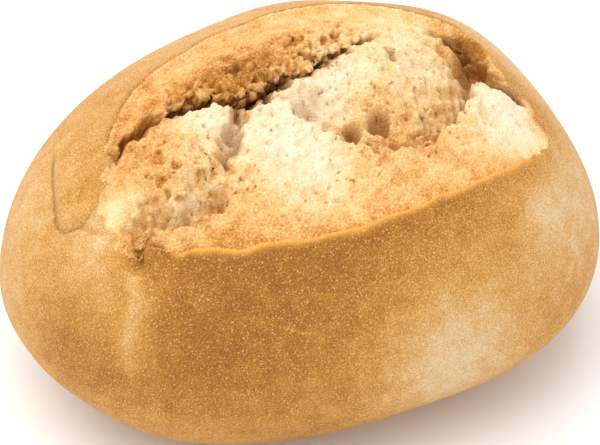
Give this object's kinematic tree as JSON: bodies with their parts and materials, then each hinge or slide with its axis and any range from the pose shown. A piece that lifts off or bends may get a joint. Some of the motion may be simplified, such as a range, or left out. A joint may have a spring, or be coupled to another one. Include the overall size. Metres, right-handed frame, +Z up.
{
  "type": "bread roll",
  "caption": "Crusty oval bread roll, its top torn open along one long split with a lifted rim of crust round rough crumb, resting on a flat underside.",
  "frame": {"origin": "centre of the bounding box at the underside, on the surface that the roll rests on", "axes": "+X along the roll's length and its split, +Y towards the back lip, -Y the side that the split leans towards, +Z up"},
  "size_m": [0.108, 0.0866, 0.0584],
  "materials": {
    "crust": "matte golden-brown crust, cream crumb in the split"
  },
  "bodies": {
    "root": {"bread_roll": "crust"}
  },
  "joints": []
}
